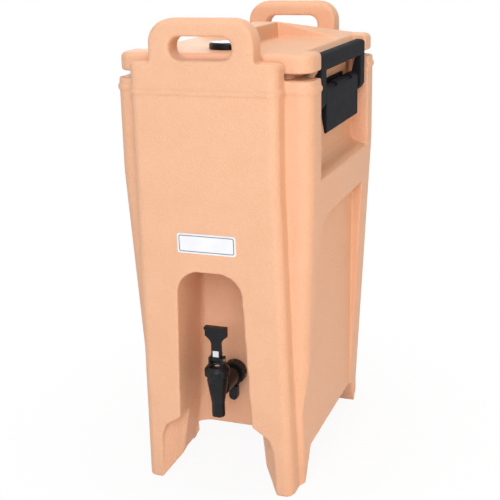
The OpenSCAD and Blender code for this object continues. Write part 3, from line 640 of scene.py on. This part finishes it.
def by_tree(name, tree, values):
    """An object made by a Geometry Nodes tree and turned into a plain mesh."""
    piece = added(name, bpy.data.meshes.new(name))
    grown = piece.modifiers.new("grown", "NODES")
    grown.node_group = tree
    for item in tree.interface.items_tree:
        if item.in_out == "INPUT":
            grown[item.identifier] = values[item.name]
    return settle(piece)


screw_row = screw_row_tree()
for side, way in (("right", 1), ("left", -1)):
    low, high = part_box("latch_screws_" + side)
    under_head = (high[0] if way > 0 else low[0]) - way * HEAD_HEIGHT
    radius = (high[2] - low[2]) / 2
    span = high[1] - low[1] - 2 * radius
    row = by_tree("bracket_screws_" + side, screw_row, {
        "Screw": screw, "Screws": SCREWS_IN_ROW, "Finish": steel,
        "First place": (under_head, low[1] + radius, (low[2] + high[2]) / 2),
        "Step": (0, span / (SCREWS_IN_ROW - 1), 0), "Turn": (0, 0, 0 if way > 0 else math.pi)})
    dress(row, steel, "base", ["latch_screws_" + side])
    print(row.name, "has", len(row.data.polygons), "faces")
bpy.data.objects.remove(screw)

# %% [markdown]
# ## Finishes for the solids that stay
# Pins, washers, the tank and the lid's pan are right as they are and only get their finish.

# %% Finishes on the CAD nodes
KEPT_FINISH = {
    # The gasket gets painted shade, the peach as it looks in the dark gap under the lid.
    "inner_tank": peach, "lid_pan": peach, "foam_core": foam, "lid_foam": foam, "lid_gasket": gasket_painted_shade,
    # The lever's pale insert is a painted highlight for the glint on the lever.
    "vent_tube": black, "vent_seal": rubber, "tap_stem": pale_and_painted_glint, "seat_cup": pale_and_painted_glint, "lever_insert": pale_and_painted_glint,
    "tap_lever_pin": steel, "outer_washer": rubber, "inner_washer": rubber, "lock_nut": black, "front_label": label,
}
for side in ("right", "left"):
    KEPT_FINISH["latch_bracket_" + side] = black
    for fitting in ("latch_pin_", "bail_pins_"):
        KEPT_FINISH[fitting + side] = steel
for name, finish in KEPT_FINISH.items():
    mesh = nodes[name].data
    if not mesh.materials:
        mesh.materials.append(finish)
    for place in nodes[name].material_slots:
        place.material = finish
print(len(KEPT_FINISH), "CAD nodes dressed")

# %% [markdown]
# ## Stage
# The photograph has a white ground with little shadow. The floor glows white to the camera and in reflections.
# Near the feet a small share of it is plain paper, which takes the shadow.

# %% Stage
FLOOR_SIZE = 60
FLOOR_HEIGHT = -0.0005
PAPER_COLOUR = (0.92, 0.92, 0.92, 1)
SHADOW_NEAR, SHADOW_FAR = 0.18, 0.5
GLOW_AT_FEET = 0.92


def seen_rays(tree, *kinds):
    """1 for a ray of one of these kinds and 0 for any other."""
    add = sums(tree)
    path = tree.nodes.new("ShaderNodeLightPath")
    seen = path.outputs[kinds[0]]
    for kind in kinds[1:]:
        seen = add("MAXIMUM", seen, path.outputs[kind])
    return seen


def glow_share(tree):
    """How much of the floor glows at a place: less near the middle, all of it farther out."""
    place = tree.nodes.new("ShaderNodeTexCoord")
    distance = tree.nodes.new("ShaderNodeVectorMath")
    distance.operation = "LENGTH"
    link(tree, place.outputs["Object"], distance.inputs[0])
    share = tree.nodes.new("ShaderNodeMapRange")
    share.inputs["From Min"].default_value = SHADOW_NEAR
    share.inputs["From Max"].default_value = SHADOW_FAR
    share.inputs["To Min"].default_value = GLOW_AT_FEET
    link(tree, distance.outputs["Value"], share.inputs["Value"])
    return share.outputs["Result"]


def floor_finish():
    material, tree, _ = bare_material("white_floor")
    tree.nodes.clear()
    paper = tree.nodes.new("ShaderNodeBsdfDiffuse")
    paper.inputs["Color"].default_value = PAPER_COLOUR
    white = tree.nodes.new("ShaderNodeEmission")
    mix = tree.nodes.new("ShaderNodeMixShader")
    seen = seen_rays(tree, "Is Camera Ray", "Is Glossy Ray")
    link(tree, sums(tree)("MULTIPLY", seen, glow_share(tree)), mix.inputs["Fac"])
    link(tree, paper.outputs[0], mix.inputs[1])
    link(tree, white.outputs[0], mix.inputs[2])
    out = tree.nodes.new("ShaderNodeOutputMaterial")
    link(tree, mix.outputs[0], out.inputs["Surface"])
    return material


def stage_floor(name, size):
    mesh = bpy.data.meshes.new(name)
    half = size / 2
    corners = [(-half, -half, 0), (half, -half, 0), (half, half, 0), (-half, half, 0)]
    mesh.from_pydata(corners, [], [(0, 1, 2, 3)])
    mesh.materials.append(floor_finish())
    floor = added(name, mesh)
    floor.location.z = FLOOR_HEIGHT
    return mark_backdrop(floor)


stage_floor("stage_floor", FLOOR_SIZE)
print("floor of", FLOOR_SIZE, "m")

# %% [markdown]
# ## Light
# Soft light comes from the front, with a warm glow on the right side and weaker lamps above and behind.
# The world is white to the camera and in reflections, and lights the object with a dimmer, warm tint.

# %% Light
AIM = Vector((0, 0, 0.3))
WORLD_LEVEL = 0.36
WORLD_TINT = (1.0, 0.89, 0.76, 1)


def soft_lamp(name, place, size, power, tint=(1, 1, 1)):
    data = bpy.data.lights.new(name, "AREA")
    data.energy = power
    data.size = size
    data.color = tint
    lamp = added(name, data)
    lamp.location = place
    lamp.rotation_euler = (AIM - Vector(place)).to_track_quat("-Z", "Y").to_euler()
    return lamp


def white_world():
    world = bpy.data.worlds.new("white_studio")
    world.use_nodes = True
    tree = world.node_tree
    glow = tree.nodes["Background"]
    shown = seen_rays(tree, "Is Camera Ray", "Is Transmission Ray", "Is Glossy Ray")
    colour = colour_mix(tree)
    colour.inputs["A"].default_value = WORLD_TINT
    colour.inputs["B"].default_value = (1, 1, 1, 1)
    link(tree, shown, colour.inputs["Factor"])
    link(tree, colour.outputs["Result"], glow.inputs["Color"])
    strength = tree.nodes.new("ShaderNodeMapRange")
    strength.inputs["To Min"].default_value = WORLD_LEVEL
    link(tree, shown, strength.inputs["Value"])
    link(tree, strength.outputs["Result"], glow.inputs["Strength"])
    return world


scene.world = white_world()
lamps = [
    soft_lamp("front_light", place=(0.6, -2.4, 1.6), size=1.8, power=50, tint=(0.96, 1.03, 1.16)),
    soft_lamp("top_light", place=(0.0, 0.2, 2.3), size=0.7, power=15),
    soft_lamp("right_fill", place=(1.2, -0.3, 0.1), size=0.8, power=4.5, tint=(1.0, 0.7, 0.46)),
    soft_lamp("back_light", place=(-1.0, 2.4, 0.4), size=1.0, power=12),
]
print("lamps:", [lamp.name for lamp in lamps])
